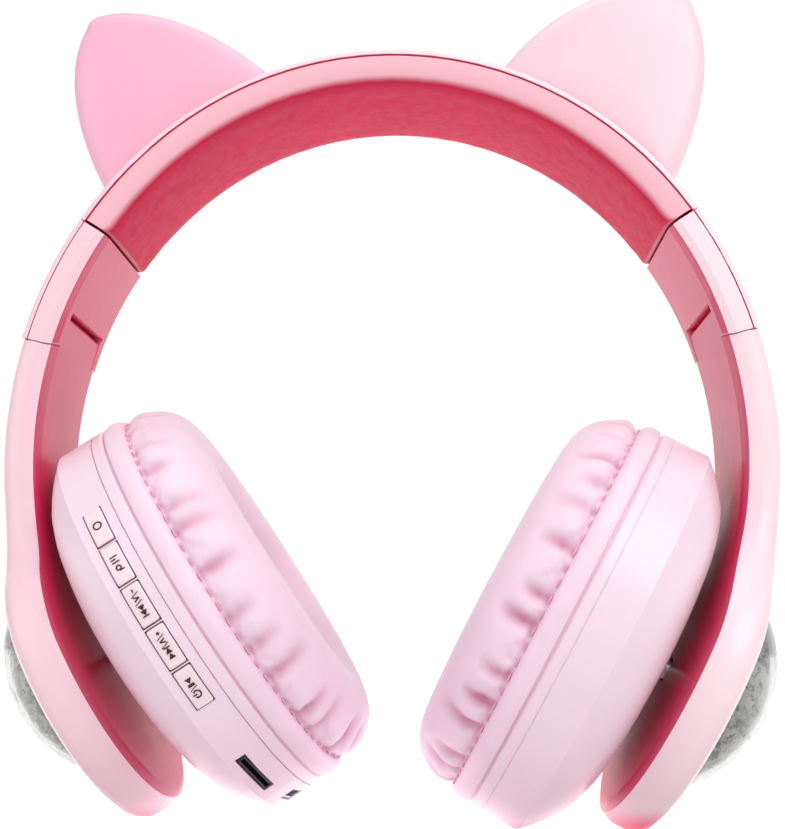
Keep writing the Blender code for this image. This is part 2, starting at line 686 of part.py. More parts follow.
def make_controls(cup_empty, back):
    """Left cup: five buttons, card socket, charging and audio sockets, main board."""
    middle = (BUTTON_LOW + BUTTON_HIGH) / 2
    half = BUTTON_PITCH / 2 - BUTTON_GAP / 2
    clear = GAP / CUP_RADIUS
    for number, name in enumerate(BUTTON_NAMES):
        angle = BUTTON_FIRST + number * BUTTON_PITCH
        window = wall_block(name + "_cutter", angle, half + clear, WINDOW_RADII,
                            (BUTTON_LOW - GAP, BUTTON_HIGH + GAP))
        cut(back, window)
        place = Matrix.Translation((middle, CUP_RADIUS * math.cos(angle), -CUP_RADIUS * math.sin(angle)))
        slide = add_empty(name + "_slide", cup_empty.matrix_world @ place, cup_empty)
        button = wall_block(name, angle, half, (BUTTON_ROOT, CUP_RADIUS + BUTTON_PROUD),
                            (BUTTON_LOW, BUTTON_HIGH), "shell_pink")
        button.data.transform(place.inverted())
        attach(slide, button, local=True)
        attach(cup_empty, window, local=True)
    sockets = [("card_socket", CARD_ANGLE, CARD_HALF, CARD_HEIGHTS, "dark_plastic"),
               ("charge_socket", CHARGE_ANGLE, CHARGE_HALF, CHARGE_HEIGHTS, "steel")]
    for name, angle, half_angle, heights, material in sockets:
        window = wall_block(name + "_cutter", angle, half_angle + clear, WINDOW_RADII,
                            (heights[0] - GAP, heights[1] + GAP))
        cut(back, window)
        attach(cup_empty, window, local=True)
        width = CUP_RADIUS * half_angle
        middle = (heights[0] + heights[1]) / 2
        thick = (heights[1] - heights[0]) / 2
        face = CUP_RADIUS - 0.0004
        socket = block(name, (-thick, face - SOCKET_LENGTH, -width + 0.0002), (thick, face, width - 0.0002),
                       material)
        mouth = block(name + "_mouth_cutter", (-thick + 0.0004, face - SOCKET_LENGTH + 0.002, -width + 0.0006),
                      (thick - 0.0004, face + 0.002, width - 0.0006))
        cut(socket, mouth)
        turn = Matrix.Translation((middle, 0, 0)) @ Matrix.Rotation(-angle, 4, "X")
        for obj in (socket, mouth):
            obj.data.transform(turn)
        attach(cup_empty, socket, mouth, local=True)
    jack_hole = rod("audio_hole_cutter", JACK_RADIUS + GAP, Vector((0, WINDOW_RADII[0], 0)),
                    Vector((0, WINDOW_RADII[1], 0)), 16)
    jack = turned("audio_socket", [(JACK_BORE, JACK_INNER), (JACK_RADIUS, JACK_INNER), (JACK_RADIUS, JACK_FACE),
                                   (JACK_BORE, JACK_FACE)], 16, "dark_plastic")
    jack.data.transform(Matrix.Rotation(math.pi / 2, 4, "Z"))
    turn = Matrix.Translation((JACK_HEIGHT, 0, 0)) @ Matrix.Rotation(-AUDIO_ANGLE, 4, "X")
    for obj in (jack_hole, jack):
        obj.data.transform(turn)
    cut(back, jack_hole)
    board = block("main_board", (0.0070, -0.0290, -0.0120), (0.0082, -0.0100, 0.0150), "board_green")
    attach(cup_empty, jack_hole, jack, board, local=True)


def make_side(side):
    letter = "R" if side > 0 else "L"
    make_ears(side)
    strip, strip_length = strip_frame(side)
    extension = add_empty("extension_" + letter, strip)
    slider = make_slider(letter, extension, strip_length)
    make_hinge_housing(side, letter, extension, slider, strip_length)

    fold = add_empty("fold_" + letter, Matrix.Translation(hinge_point(side, PIN_U, PIN_DEPTH)), extension)
    disc = add_empty("disc_" + letter, cup_matrix(side, DISC_TILT, 0, Vector(DISC_CENTRE[side])), fold)
    cup_frame = cup_matrix(side, CUP_TILT[side], CUP_TOE[side], Vector(CUP_SEAM[side]))
    pivot = cup_frame @ Vector((BALL_HEIGHT, 0, 0))
    make_arm(side, letter, fold, disc, pivot)
    make_dome(letter, disc)
    make_ball_stud(side, letter, fold, disc, pivot)

    ball_frame = cup_frame.copy()
    ball_frame.translation = pivot
    tilt = add_empty("tilt_" + letter, ball_frame, fold)
    make_liner(letter, tilt)
    swivel = add_empty("swivel_" + letter, ball_frame, tilt)
    cup = add_empty("cup_" + letter, cup_frame, swivel)
    back, front = make_cup_shell(letter), make_cup_front(letter)
    attach(cup, back, front, make_cushion(letter), *make_driver(letter), local=True)
    make_posts(letter, back, front, cup)
    if side < 0:
        make_controls(cup, back)
    else:
        battery = block("battery", (0.0060, -0.0280, -0.0100), (0.0096, -0.0090, 0.0160), "battery_silver")
        attach(cup, battery, local=True)


for old in list(bpy.data.objects):
    bpy.data.objects.remove(old)
MATERIALS = make_materials()
make_headband()
for each_side in (1, -1):
    make_side(each_side)
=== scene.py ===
"""Looks of the folding headset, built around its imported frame. Metres, +Z up, the buttons' side faces -Y."""

import json
import math
import random

import bmesh
import bpy
from mathutils import Matrix, Vector, noise

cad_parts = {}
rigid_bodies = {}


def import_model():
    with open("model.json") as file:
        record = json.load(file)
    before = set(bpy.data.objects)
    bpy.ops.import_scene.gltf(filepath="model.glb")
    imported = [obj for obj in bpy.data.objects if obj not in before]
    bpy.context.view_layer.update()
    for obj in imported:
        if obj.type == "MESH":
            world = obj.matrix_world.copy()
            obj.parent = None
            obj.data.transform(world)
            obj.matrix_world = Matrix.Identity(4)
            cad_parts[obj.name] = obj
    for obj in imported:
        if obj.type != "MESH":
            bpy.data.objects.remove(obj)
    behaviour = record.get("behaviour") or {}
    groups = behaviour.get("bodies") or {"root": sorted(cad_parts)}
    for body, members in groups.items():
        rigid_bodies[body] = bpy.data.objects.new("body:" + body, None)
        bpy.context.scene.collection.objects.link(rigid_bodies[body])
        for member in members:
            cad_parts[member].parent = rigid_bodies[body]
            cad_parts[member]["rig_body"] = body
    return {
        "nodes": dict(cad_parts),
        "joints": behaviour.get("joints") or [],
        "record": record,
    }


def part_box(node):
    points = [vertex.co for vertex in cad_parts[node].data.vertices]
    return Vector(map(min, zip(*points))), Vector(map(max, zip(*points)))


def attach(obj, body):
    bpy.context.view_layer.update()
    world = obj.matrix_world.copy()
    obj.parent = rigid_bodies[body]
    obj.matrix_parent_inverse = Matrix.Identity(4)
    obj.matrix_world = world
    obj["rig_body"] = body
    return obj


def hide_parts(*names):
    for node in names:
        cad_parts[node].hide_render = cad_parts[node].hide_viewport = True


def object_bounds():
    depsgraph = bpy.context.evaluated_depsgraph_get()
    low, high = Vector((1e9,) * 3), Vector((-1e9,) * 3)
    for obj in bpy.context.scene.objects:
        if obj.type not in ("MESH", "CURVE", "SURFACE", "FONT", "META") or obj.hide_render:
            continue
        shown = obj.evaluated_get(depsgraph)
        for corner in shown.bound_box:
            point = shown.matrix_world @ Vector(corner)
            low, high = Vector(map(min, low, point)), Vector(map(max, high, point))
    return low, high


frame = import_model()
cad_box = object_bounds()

# Camera
CAMERA_PLACE = (0.01012, -0.24953, -0.03766)
CAMERA_YAW = 0.0385
CAMERA_PITCH = 0.182
CAMERA_ROLL = 0.0052
LENS_MM = 53.81

# Headband: the outer face is an ellipse in the XZ plane, and angles are measured from its top.
ARCH_A = 0.0750
ARCH_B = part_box("headband_shell")[1].z
ARCH_END = math.radians(55.2)
BAND_HALF_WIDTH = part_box("headband_shell")[1].y
PAD_TOP = 0.00112
PAD_DEPTH = 0.0073
PAD_SAG = 0.0004
PAD_EDGE = [(0.0010, PAD_TOP), (0.0001, PAD_TOP + 0.0007), (-0.0001, 0.0036), (0.0003, 0.0056),
            (0.0013, 0.0068), (0.0030, PAD_DEPTH)]
PAD_ROWS = 150
PAD_WAVE = 0.0001
LIP_ROWS = 6
RECESS_HALF = 0.0104
RECESS_DEPTH = 0.0050
LIP_RADIUS = 0.0016
GAP = 0.0003

# Smooth copies of the CAD's plastic parts: their faces move out by this much, which narrows the gaps.
SKIN_SWELL = 0.00009
SOFT_EDGE = 0.0002

# Ornaments: control points of the outer edge, the tip, and control points of the top edge, as on the +X side.
EAR_EDGES = {
    "R": (((0.0578, 0.0531), (0.0636, 0.0640), (0.0700, 0.0805), (0.0653, 0.0935)), (0.0645, 0.0960),
          ((0.0626, 0.0976), (0.0520, 0.1010), (0.0360, 0.0985), (0.0220, 0.0784))),
    "L": (((0.0578, 0.0531), (0.0652, 0.0650), (0.0705, 0.0820), (0.0650, 0.0930)), (0.0642, 0.0948),
          ((0.0624, 0.0958), (0.0540, 0.0983), (0.0380, 0.0945), (0.0220, 0.0784))),
}
EAR_FOOT = (math.radians(20.5), math.radians(49.0))
EAR_EDGE = [(0.00015, 0.00016), (0.0, 0.0005), (0.0, 0.0031), (0.0002, 0.0044), (0.0008, 0.0054),
            (0.0018, 0.0061), (0.0033, 0.0065)]
EAR_CROWN = [(0.75, 0.0067), (0.55, 0.00685), (0.35, 0.00695), (0.15, 0.0070)]

# Cups and discs: a frame's X runs outward along the axis, Y across and Z up.
SIDES = {"R": 1, "L": -1}
BALL_HEIGHT = 0.0147
CUP_RADIUS = 0.0405
CUP_SEAM_X = 0.00245
CUP_SEAM_DEPTH = {"R": 0.00005, "L": 0.0002}
CUSHION_SEAM_DEPTH = 0.0005
BEAD_WIDTH = 0.0008
BEAD_ROOT = 0.0016
DISC_TILT = math.radians(28.5)
DISC_CENTRE = {"R": (0.0335, 0, -0.0322), "L": (-0.0350, 0, -0.0295)}
DOME_CENTRE = 0.0187
DOME_RADIUS = 0.0248
DOME_WALL = 0.0012
DOME_BASE = 0.0302
DOME_FLANGE = 0.0242

# Cushions: (radius, x) from the inner edge at the cup over the hole's wall, the face and the side.
CUSHION_OUTLINE = [(0.0216, -0.0003), (0.0206, -0.0030), (0.0203, -0.0065), (0.0206, -0.0100),
                   (0.0220, -0.0128), (0.0246, -0.0144), (0.0277, -0.0149), (0.0305, -0.0147),
                   (0.0333, -0.0138), (0.0355, -0.0122), (0.0371, -0.0102), (0.0383, -0.0080),
                   (0.0390, -0.0060), (0.0392, -0.0044)]
SKIRT_OUTLINE = [(0.0392, -0.0044), (0.0400, -0.0037), (0.0405, -0.0028), (0.0407, -0.0018),
                 (0.0406, -0.0009), (0.0403, -0.0001)]
CLOTH_STEPS = 180
GATHER_PITCH = 0.0076
GATHER_DEPTH = 0.0024
GATHER_ROOT = 0.0011
GATHER_SPREAD = 0.09
GATHER_START = 0.0022
GATHER_REACH = 0.014
GROOVE_DEPTH = 0.0005
STITCH_PITCH = 0.0030
STITCH_LINE = (0.0389, -0.0044)
STITCH_SIZE = 0.00017
STITCH_LIFT = 0.00022
CLOTH_SCALE = 10.0
CLOTH_FRAMES = 20
CLOTH_PRESSURE = 3.0
CLOTH_CAP = 0.0012

# Buttons: angles from the front, positive downwards.
BUTTONS = ["button_light", "button_mode", "button_previous", "button_next", "button_power"]
BUTTON_FIRST = math.radians(-25.3)
BUTTON_PITCH = math.radians(11.75)
BUTTON_MIDDLE = 0.0062
BUTTON_FACE = CUP_RADIUS + 0.0004
INK_LIFT = 0.00006
INK_THICKNESS = 0.00009
MICROPHONE = (0.0151, 0.0343, math.radians(43.2))
MICROPHONE_SLOPE = 1.35

# Light windows: the film's facets per metre, its crumples, and the height over which its foot is broken up.
FACET_SCALE = 240.0
FILM_GAP = 0.0002
FILM_THICKNESS = 0.0006
FILM_CRUMPLE = 0.0010
FILM_EDGE = 1.08
FOOT_TOP = 0.0410
FOOT_FADE = 0.0020

# Stage: the floor's distance under the object.
FLOOR_GAP = 0.0006

# Colours, linear
PALE = (0.95, 0.74, 0.80)
LILAC = (0.94, 0.72, 0.82)
# Painted shade: the cups' colour in narrow gaps
SHADED = (0.62, 0.24, 0.40)
# Painted shade: the plastics' deep crimson in narrow gaps between parts
PAINTED_GAP_SHADE = (0.80, 0.03, 0.13)
# Painted shade: the shell's deeper rose on faces turned towards the headband's middle
PAINTED_INNER_SHADE = (0.66, 0.10, 0.18)
# Painted shade: the pad's crimson on its inward face; its sides keep the paler colour below
PAD_INNER_SHADE = (0.60, 0.020, 0.072)
PAD_SIDE = (0.92, 0.50, 0.57)
CUSHION = (0.94, 0.71, 0.83)
# Painted shade: the cushion's deeper colour in its gathers and along its stitched groove
PAINTED_GATHER_SHADE = (0.52, 0.07, 0.21)


# ---- Node helpers ----


def add_node(tree, kind, inputs=(), **settings):
    made = tree.nodes.new(kind)
    for key, value in settings.items():
        setattr(made, key, value)
    for key, value in dict(inputs).items():
        if isinstance(value, bpy.types.NodeSocket):
            tree.links.new(value, made.inputs[key])
        elif isinstance(value, tuple) and len(value) == 3 and made.inputs[key].type == "RGBA":
            made.inputs[key].default_value = (*value, 1)
        else:
            made.inputs[key].default_value = value
    return made


def mixed(tree, factor, first, second, blend="MIX"):
    return add_node(tree, "ShaderNodeMix", {0: factor, 6: first, 7: second}, data_type="RGBA",
                    blend_type=blend).outputs[2]


def smooth(tree, value, low, high, to_low=0.0, to_high=1.0):
    return add_node(tree, "ShaderNodeMapRange", {0: value, 1: low, 2: high, 3: to_low, 4: to_high},
                    interpolation_type="SMOOTHSTEP").outputs[0]


def grain(tree, coords, scale, detail=2.0, roughness=0.5):
    return add_node(tree, "ShaderNodeTexNoise", {"Vector": coords, "Scale": scale, "Detail": detail,
                                                 "Roughness": roughness}).outputs["Fac"]


def arithmetic(tree, operation, first, second):
    return add_node(tree, "ShaderNodeMath", {0: first, 1: second}, operation=operation).outputs[0]


def bump(tree, shader, height, strength, distance):
    made = add_node(tree, "ShaderNodeBump", {"Height": height, "Strength": strength, "Distance": distance})
    tree.links.new(made.outputs[0], shader.inputs["Normal"])


def new_material(name, colour, roughness, metallic=0.0):
    """(material, its tree, its shader, object coordinates)"""
    material = bpy.data.materials.new(name)
    material.use_nodes = True
    tree = material.node_tree
    shader = tree.nodes["Principled BSDF"]
    shader.inputs["Base Color"].default_value = (*colour, 1)
    shader.inputs["Roughness"].default_value = roughness
    shader.inputs["Metallic"].default_value = metallic
    coords = add_node(tree, "ShaderNodeTexCoord").outputs["Object"]
    return material, tree, shader, coords


def occlusion(tree, distance, low, high):
    """Mask for painted shade: 0 in a narrow gap, 1 in the open."""
    shade = add_node(tree, "ShaderNodeAmbientOcclusion", {"Distance": distance}, samples=12)
    return smooth(tree, shade.outputs["AO"], low, high)


def inward(tree, coords):
    """1 on faces that look towards the headband's middle axis, where shade is painted."""
    level = add_node(tree, "ShaderNodeVectorMath", {0: coords, 1: (1, 0, 1)}, operation="MULTIPLY").outputs[0]
    unit = add_node(tree, "ShaderNodeVectorMath", {0: level}, operation="NORMALIZE").outputs[0]
    normal = add_node(tree, "ShaderNodeTexCoord").outputs["Normal"]
    facing = add_node(tree, "ShaderNodeVectorMath", {0: unit, 1: normal}, operation="DOT_PRODUCT")
    return smooth(tree, facing.outputs["Value"], -0.35, -0.9)


# ---- Materials ----


def make_plastic(name, colour, inner=None, painted_shade=PAINTED_GAP_SHADE, reach=0.008, left=None):
    """Satin moulded plastic: faint clouding and fine grain, with painted shade: the colour turns deep rose in
    narrow gaps, on faces marked inner when an inner colour is given, and towards -X when a left colour is
    given.
    """
    material, tree, shader, coords = new_material(name, colour, 0.30)
    cloud = smooth(tree, grain(tree, coords, 55, 3), 0.35, 0.65)
    tint = mixed(tree, cloud, tuple(c * 0.98 for c in colour), colour)
    # Painted shade: towards -X, the side away from the key light, the colour turns to the left colour.
    if left:
        across = add_node(tree, "ShaderNodeSeparateXYZ", {0: coords}).outputs["X"]
        tint = mixed(tree, smooth(tree, across, -0.07, 0.07), left, tint)
    # Painted shade: faces marked inner take the inner colour.
    if inner:
        facing_in = add_node(tree, "ShaderNodeAttribute", attribute_name="inner").outputs["Fac"]
        tint = mixed(tree, facing_in, tint, inner)
    # Painted shade: the colour turns deep in narrow gaps between parts.
    tint = mixed(tree, occlusion(tree, reach, 0.12, 0.80), painted_shade, tint)
    tree.links.new(tint, shader.inputs["Base Color"])
    rub = smooth(tree, grain(tree, coords, 260, 4), 0.3, 0.7, 0.28, 0.33)
    tree.links.new(rub, shader.inputs["Roughness"])
    bump(tree, shader, grain(tree, coords, 5200, 2), 0.05, 0.00005)
    shader.inputs["Subsurface Weight"].default_value = 0.10
    shader.inputs["Subsurface Radius"].default_value = (1.0, 0.35, 0.40)
    shader.inputs["Subsurface Scale"].default_value = 0.003
    shader.inputs["IOR"].default_value = 1.47
    return material


def make_leather(name, colour, painted_shade, cell, sheen, side=None, specular=0.5):
    """Soft leatherette: pebble grain and creases, with painted shade: a deeper colour where it is gathered and
    in narrow gaps, and, given a side colour, the base colour only on faces that look inward.
    """
    material, tree, shader, coords = new_material(name, colour, 0.5)
    cloud = smooth(tree, grain(tree, coords, 70, 3), 0.3, 0.7)
    tint = mixed(tree, cloud, tuple(c * 0.94 for c in colour), colour)
    # Painted shade: faces that look inward keep the given colour, the others take the side colour.
    if side:
        tint = mixed(tree, inward(tree, coords), side, tint)
    gathered = add_node(tree, "ShaderNodeAttribute", attribute_name="gathered").outputs["Fac"]
    # Painted shade: the colour turns deep in the gathers and in narrow gaps.
    tint = mixed(tree, gathered, tint, painted_shade)
    tint = mixed(tree, occlusion(tree, 0.006, 0.10, 0.70), painted_shade, tint)
    tree.links.new(tint, shader.inputs["Base Color"])
    pebble = add_node(tree, "ShaderNodeTexVoronoi", {"Vector": coords, "Scale": cell, "Randomness": 0.9},
                      feature="DISTANCE_TO_EDGE").outputs["Distance"]
    crease = grain(tree, coords, cell * 0.35, 4, 0.6)
    height = arithmetic(tree, "ADD", smooth(tree, pebble, 0.0, 0.14), crease)
    bump(tree, shader, height, 0.16, 0.0001)
    tree.links.new(smooth(tree, crease, 0.3, 0.7, 0.42, 0.58), shader.inputs["Roughness"])
    shader.inputs["Sheen Weight"].default_value = sheen
    shader.inputs["Sheen Roughness"].default_value = 0.4
    shader.inputs["Specular IOR Level"].default_value = specular
    return material


def make_metal(name, colour, roughness, stretch=(1, 1, 1)):
    """Satin metal with a fine grain along one direction."""
    material, tree, shader, coords = new_material(name, colour, roughness, 1.0)
    along = add_node(tree, "ShaderNodeVectorMath", {0: coords, 1: stretch}, operation="MULTIPLY").outputs[0]
    scratch = grain(tree, along, 2600, 4, 0.6)
    rub = smooth(tree, scratch, 0.3, 0.7, roughness - 0.06, roughness + 0.10)
    tree.links.new(rub, shader.inputs["Roughness"])
    bump(tree, shader, scratch, 0.12, 0.00005)
    return material


def make_reflector(name, pale, dark):
    """Crinkled mirror film: clouded grey, and near its foot each facet has a grey of its own, from black to
    white, a painted reflection.
    """
    material, tree, shader, coords = new_material(name, (0.8, 0.8, 0.8), 0.34, 0.45)
    warp, wobble = (add_node(tree, "ShaderNodeTexNoise", {"Vector": coords, "Scale": scale, "Detail": 3.0})
                    for scale in (210.0, 230.0))
    small = add_node(tree, "ShaderNodeVectorMath", {0: wobble.outputs["Color"], "Scale": 0.0022},
                     operation="SCALE").outputs[0]
    bent = add_node(tree, "ShaderNodeVectorMath", {0: coords, 1: warp.outputs["Color"], 2: small},
                    operation="MULTIPLY_ADD").outputs[0]
    cells = add_node(tree, "ShaderNodeTexVoronoi", {"Vector": bent, "Scale": FACET_SCALE})
    level = add_node(tree, "ShaderNodeSeparateColor", {0: cells.outputs["Color"]}).outputs[0]
    # Painted reflection: each facet near the foot takes a grey from black to white.
    ramp = add_node(tree, "ShaderNodeValToRGB", {0: level})
    stops = ramp.color_ramp
    stops.interpolation = "CONSTANT"
    stops.elements.remove(stops.elements[1])
    stops.elements[0].color = (dark, dark, dark, 1)
    for place, value in ((0.22, 0.30), (0.36, 0.62), (0.58, 0.85), (0.80, 1.0)):
        stops.elements.new(place).color = (value, value, value * 1.01, 1)
    foot = add_node(tree, "ShaderNodeAttribute", attribute_name="foot").outputs["Fac"]
    cloud = mixed(tree, grain(tree, coords, 260, 5, 0.65), (pale * 0.8,) * 3, (pale * 1.15,) * 3)
    tree.links.new(mixed(tree, foot, cloud, ramp.outputs[0]), shader.inputs["Base Color"])
    edge = add_node(tree, "ShaderNodeTexVoronoi", {"Vector": bent, "Scale": FACET_SCALE},
                    feature="DISTANCE_TO_EDGE").outputs["Distance"]
    height = arithmetic(tree, "ADD", smooth(tree, edge, 0.0, 0.25), grain(tree, coords, 900, 4, 0.7))
    bump(tree, shader, height, 0.7, 0.0006)
    return material


def make_clear(name):
    """Clear polished plastic dome, a little frosted by its moulding, with painted shade: its colour turns grey
    where it is seen edge-on.
    """
    material, tree, shader, coords = new_material(name, (0.70, 0.71, 0.70), 0.05)
    # Painted shade: the colour darkens to grey where the dome is seen edge-on.
    rim = add_node(tree, "ShaderNodeLayerWeight", {"Blend": 0.35}).outputs["Facing"]
    tree.links.new(mixed(tree, smooth(tree, rim, 0.1, 0.9), (0.78, 0.79, 0.78), (0.34, 0.35, 0.34)),
                   shader.inputs["Base Color"])
    haze = smooth(tree, grain(tree, coords, 130, 5, 0.6), 0.3, 0.7, 0.02, 0.06)
    tree.links.new(haze, shader.inputs["Roughness"])
    bump(tree, shader, grain(tree, coords, 420, 4), 0.10, 0.0003)
    shader.inputs["Transmission Weight"].default_value = 0.88
    shader.inputs["IOR"].default_value = 1.30
    return material


def make_matt(name, colour, roughness, scale=1800, strength=0.2):
    material, tree, shader, coords = new_material(name, colour, roughness)
    cloud = grain(tree, coords, scale / 12, 3)
    dull, bright = tuple(c * 0.8 for c in colour), tuple(min(1, c * 1.15) for c in colour)
    tree.links.new(mixed(tree, cloud, dull, bright), shader.inputs["Base Color"])
    bump(tree, shader, grain(tree, coords, scale, 3), strength, 0.0001)
    return material


def make_weave(name, colour):
    """Woven speaker cloth: two crossed sets of threads."""
    material, tree, shader, coords = new_material(name, colour, 0.85)
    waves = [add_node(tree, "ShaderNodeTexWave", {"Vector": coords, "Scale": 330.0, "Distortion": 0.6,
                                                  "Detail": 1.0}, bands_direction=way).outputs["Fac"]
             for way in ("Y", "DIAGONAL")]
    height = arithmetic(tree, "MULTIPLY", *waves)
    tree.links.new(mixed(tree, height, tuple(c * 0.4 for c in colour), tuple(c * 2.2 for c in colour)),
                   shader.inputs["Base Color"])
    bump(tree, shader, height, 0.8, 0.0003)
    shader.inputs["Sheen Weight"].default_value = 0.3
    return material


# The plastics and leathers below darken to a painted shade colour in narrow gaps.
MATERIALS = {
    # Painted shade on the shell: rose on faces turned inward, pinker towards -X.
    "shell": make_plastic("shell_pink_plastic", PALE, inner=PAINTED_INNER_SHADE, left=(0.93, 0.64, 0.72)),
    "cup": make_plastic("cup_pink_plastic", LILAC, painted_shade=SHADED, reach=0.005),
    "seam": make_plastic("seam_pink_plastic", (0.90, 0.60, 0.70), painted_shade=(0.80, 0.45, 0.55), reach=0.002),
    # Painted shade: the ears turn pinker towards -X.
    "ear": make_plastic("ear_pink_plastic", (0.94, 0.66, 0.73), left=(0.93, 0.47, 0.62)),
    "button": make_plastic("button_pink_plastic", (0.95, 0.74, 0.80), painted_shade=(0.35, 0.02, 0.06), reach=0.003),
    # Painted shade: the pad is crimson on its inward face and pale on its sides.
    "pad": make_leather("pad_leather_painted_inner_shade", PAD_INNER_SHADE, (0.45, 0.02, 0.06), 1500, 0.0, PAD_SIDE, 0.12),
    # Painted shade: the cushion deepens in its gathers, groove and gaps.
    "cushion": make_leather("cushion_leatherette", CUSHION, PAINTED_GATHER_SHADE, 1300, 0.35),
    "thread": make_matt("pink_thread", (0.84, 0.42, 0.58), 0.7, 6000),
    "bezel": make_metal("bezel_metal", (0.50, 0.49, 0.50), 0.34),
    "steel": make_metal("spring_steel", (0.60, 0.60, 0.62), 0.30, (1, 0.1, 1)),
    "reflector": make_reflector("mirror_film", 0.60, 0.01),
    "clear": make_clear("clear_dome"),
    "board": make_matt("circuit_board", (0.02, 0.16, 0.07), 0.5),
    "dark": make_matt("dark_plastic", (0.02, 0.018, 0.02), 0.45),
    "white": make_matt("liner_plastic", (0.75, 0.75, 0.73), 0.45),
    "foil": make_metal("battery_foil", (0.62, 0.62, 0.64), 0.42),
    "grille": make_weave("speaker_cloth", (0.05, 0.045, 0.05)),
    "ink": make_matt("printed_ink", (0.045, 0.006, 0.016), 0.4),
}


# ---- Mesh helpers ----


def add_piece(name, work, material, body, angle=35, normals=True):
    """An object from a bmesh in world coordinates, riding on a body."""
    if normals:
        bmesh.ops.recalc_face_normals(work, faces=work.faces)
    mesh = bpy.data.meshes.new(name)
    work.to_mesh(mesh)
    work.free()
    mesh.shade_smooth()
    mesh.set_sharp_from_angle(angle=math.radians(angle))
    mesh.materials.append(MATERIALS[material])
    piece = bpy.data.objects.new(name, mesh)
    bpy.context.scene.collection.objects.link(piece)
    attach(piece, body)
    return piece


def join_rows(work, rows):
    """Faces between each row of a bmesh's points and the next, each row a loop."""
    for low, high in zip(rows, rows[1:]):
        for i in range(len(low)):
            j = (i + 1) % len(low)
            work.faces.new((low[i], low[j], high[j], high[i]))


def loft(rows, ring=False):
    """bmesh through rows of equal points. A ring joins the last row to the first and has no caps."""
    work = bmesh.new()
    made = [[work.verts.new(point) for point in row] for row in rows]
    if not ring:
        work.faces.new(made[0])
        work.faces.new(made[-1])
    join_rows(work, made + made[:1] if ring else made)
    return work


def turned(outline, place, steps=144):
    """Ring of a closed (radius, x) outline about the place's X axis, from a radius over 0."""
    rows = []
    for step in range(steps):
        angle = 2 * math.pi * step / steps
        rows.append([place @ Vector((x, r * math.cos(angle), r * math.sin(angle))) for r, x in outline])
    return loft(rows, ring=True)


def bezier(p0, p1, p2, p3, count):
    points = []
    for i in range(count):
        t = i / (count - 1)
        weights = ((1 - t) ** 3, 3 * t * (1 - t) ** 2, 3 * t * t * (1 - t), t**3)
        points.append(sum((w * Vector(p) for w, p in zip(weights, (p0, p1, p2, p3))), Vector((0, 0))))
    return points


def through(points, count):
    """Points of a smooth curve through a short list of 2-D points."""
    knots = [Vector(p) for p in points]
    ends = [2 * knots[0] - knots[1]] + knots + [2 * knots[-1] - knots[-2]]
    made = []
    for i in range(len(knots) - 1):
        a, b, c, d = ends[i:i + 4]
        made += bezier(b, b + (c - a) / 6, c - (d - b) / 6, c, count)[:-1]
    return made + [knots[-1]]


def band_point(angle, depth=0.0, y=0.0):
    """Point under the headband's outer face. The angle is from the top, positive towards +X."""
    normal = Vector((math.sin(angle) / ARCH_A, 0, math.cos(angle) / ARCH_B)).normalized()
    return Vector((ARCH_A * math.sin(angle), y, ARCH_B * math.cos(angle))) - depth * normal


def frame_matrix(origin, outward, across, up):
    matrix = Matrix((outward, across, up)).transposed().to_4x4()
    matrix.translation = origin
    return matrix


JOINTS = {joint["name"]: joint for joint in frame["joints"]}


def cup_frame(letter):
    across = Vector(JOINTS["tilt_" + letter]["axis"])
    up = Vector(JOINTS["swivel_" + letter]["axis"])
    outward = across.cross(up)
    ball = Vector(JOINTS["tilt_" + letter]["pos_m"])
    return frame_matrix(ball - BALL_HEIGHT * outward, outward, across, up)


def disc_frame(letter):
    side = SIDES[letter]
    outward = Vector((side * math.cos(DISC_TILT), 0, -math.sin(DISC_TILT)))
    across = Vector((0, side, 0))
    return frame_matrix(Vector(DISC_CENTRE[letter]), outward, across, outward.cross(across))


def skin(node, material, width=SOFT_EDGE, angle=32):
    """A smooth-shaded copy of a CAD node with softened edges, which stands for it."""
    part = frame["nodes"][node]
    work = bmesh.new()
    work.from_mesh(part.data)
    bmesh.ops.remove_doubles(work, verts=work.verts, dist=0.000002)
    bmesh.ops.dissolve_limit(work, angle_limit=math.radians(0.6), verts=work.verts, edges=work.edges)
    # Mask of faces turned towards the headband's middle, where the shell plastic paints shade.
    mask = work.faces.layers.float.new("inner")
    for face in work.faces:
        centre = face.calc_center_median()
        level = Vector((centre.x, 0, centre.z)).normalized()
        face[mask] = 1.0 if level.dot(face.normal) < -0.6 else 0.0
    piece = add_piece(node + "_finish", work, material, part["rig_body"], angle, normals=False)
    if "custom_normal" in piece.data.attributes:
        piece.data.attributes.remove(piece.data.attributes["custom_normal"])
    swell = piece.modifiers.new("narrow_gaps", "DISPLACE")
    swell.mid_level = 0
    swell.strength = SKIN_SWELL
    soft = piece.modifiers.new("soft_edges", "BEVEL")
    soft.limit_method = "ANGLE"
    soft.angle_limit = math.radians(angle)
    soft.width = width
    soft.segments = 3
    even = piece.modifiers.new("even_normals", "WEIGHTED_NORMAL")
    even.keep_sharp = True
    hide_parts(node)
    return piece


# ---- Headband ----


